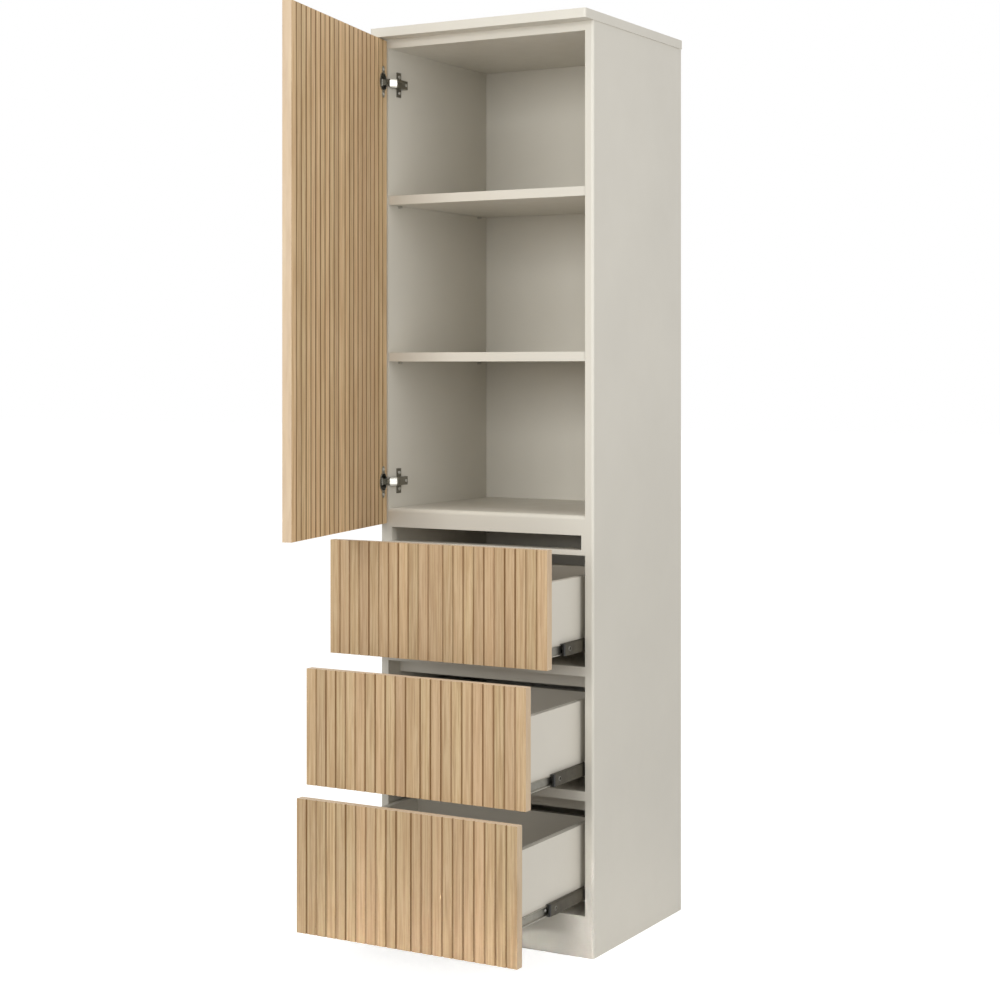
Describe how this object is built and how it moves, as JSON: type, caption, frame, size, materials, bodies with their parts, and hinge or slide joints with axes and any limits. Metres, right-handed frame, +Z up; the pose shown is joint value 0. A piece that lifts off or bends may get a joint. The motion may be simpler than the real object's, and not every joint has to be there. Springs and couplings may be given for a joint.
{
  "type": "tall storage cabinet",
  "caption": "Tall off-white storage cabinet with a fluted light-oak door over open shelves and fluted handleless drawers on telescopic runners.",
  "frame": {"origin": "middle of the back panel's outer face, at the floor", "axes": "+X to the right seen from the front, +Y out of the back towards the wall, +Z up; the door and the drawers open towards -Y"},
  "size_m": [0.4841, 0.8717, 1.8],
  "materials": {
    "cabinet_paint": "satin off-white paint on board",
    "drawer_paint": "satin off-white foil on board",
    "oak_slats": "matt light oak",
    "hinge_steel": "nickel plated",
    "runner_steel": "zinc plated",
    "pin_steel": "nickel plated",
    "black_plastic": "matt"
  },
  "bodies": {
    "carcass": {"side_left": "cabinet_paint", "side_right": "cabinet_paint", "top_board": "cabinet_paint", "sub_top": "cabinet_paint", "shelf_upper": "cabinet_paint", "shelf_lower": "cabinet_paint", "deck_board": "cabinet_paint", "deck_rail": "cabinet_paint", "grip_rail": "cabinet_paint", "divider_upper": "cabinet_paint", "divider_lower": "cabinet_paint", "apron_upper": "cabinet_paint", "apron_lower": "cabinet_paint", "bottom_board": "cabinet_paint", "plinth_front": "cabinet_paint", "plinth_back": "cabinet_paint", "back_panel": "cabinet_paint", "shelf_pins": "pin_steel", "hinge_arm_upper": "hinge_steel", "hinge_plate_upper": "hinge_steel", "hinge_arm_lower": "hinge_steel", "hinge_plate_lower": "hinge_steel", "runner_top_cabinet": "runner_steel", "runner_mid_cabinet": "runner_steel", "runner_low_cabinet": "runner_steel"},
    "door": {"door_panel": "oak_slats", "hinge_cup_upper": "hinge_steel", "hinge_pin_upper": "hinge_steel", "hinge_cup_lower": "hinge_steel", "hinge_pin_lower": "hinge_steel"},
    "drawer_top": {"drawer_top_front": "oak_slats", "drawer_top_side_left": "drawer_paint", "drawer_top_side_right": "drawer_paint", "drawer_top_back": "drawer_paint", "drawer_top_bottom": "drawer_paint", "runner_top_drawer": "runner_steel"},
    "runner_top": {"runner_top_middle": "runner_steel", "runner_top_balls": "runner_steel", "runner_top_guides": "black_plastic"},
    "drawer_mid": {"drawer_mid_front": "oak_slats", "drawer_mid_side_left": "drawer_paint", "drawer_mid_side_right": "drawer_paint", "drawer_mid_back": "drawer_paint", "drawer_mid_bottom": "drawer_paint", "runner_mid_drawer": "runner_steel"},
    "runner_mid": {"runner_mid_middle": "runner_steel", "runner_mid_balls": "runner_steel", "runner_mid_guides": "black_plastic"},
    "drawer_low": {"drawer_low_front": "oak_slats", "drawer_low_side_left": "drawer_paint", "drawer_low_side_right": "drawer_paint", "drawer_low_back": "drawer_paint", "drawer_low_bottom": "drawer_paint", "runner_low_drawer": "runner_steel"},
    "runner_low": {"runner_low_middle": "runner_steel", "runner_low_balls": "runner_steel", "runner_low_guides": "black_plastic"}
  },
  "joints": [
    {"name": "door_swing", "type": "hinge", "parent": "carcass", "child": "door", "pos_m": [-0.23025, -0.4115, 1.3], "axis": [0, 0, 1], "range_deg": [-17, 78]},
    {"name": "drawer_top_slide", "type": "slide", "parent": "carcass", "child": "drawer_top", "axis": [0, -1, 0], "range_m": [-0.16, 0.19]},
    {"name": "runner_top_slide", "type": "slide", "parent": "carcass", "child": "runner_top", "axis": [0, -1, 0], "range_m": [-0.08, 0.095]},
    {"name": "drawer_mid_slide", "type": "slide", "parent": "carcass", "child": "drawer_mid", "axis": [0, -1, 0], "range_m": [-0.24, 0.11]},
    {"name": "runner_mid_slide", "type": "slide", "parent": "carcass", "child": "runner_mid", "axis": [0, -1, 0], "range_m": [-0.12, 0.055]},
    {"name": "drawer_low_slide", "type": "slide", "parent": "carcass", "child": "drawer_low", "axis": [0, -1, 0], "range_m": [-0.272, 0.078]},
    {"name": "runner_low_slide", "type": "slide", "parent": "carcass", "child": "runner_low", "axis": [0, -1, 0], "range_m": [-0.136, 0.039]}
  ],
  "couplings": [
    {"joint": "runner_top_slide", "follows": "drawer_top_slide", "ratio": 0.5},
    {"joint": "runner_mid_slide", "follows": "drawer_mid_slide", "ratio": 0.5},
    {"joint": "runner_low_slide", "follows": "drawer_low_slide", "ratio": 0.5}
  ]
}
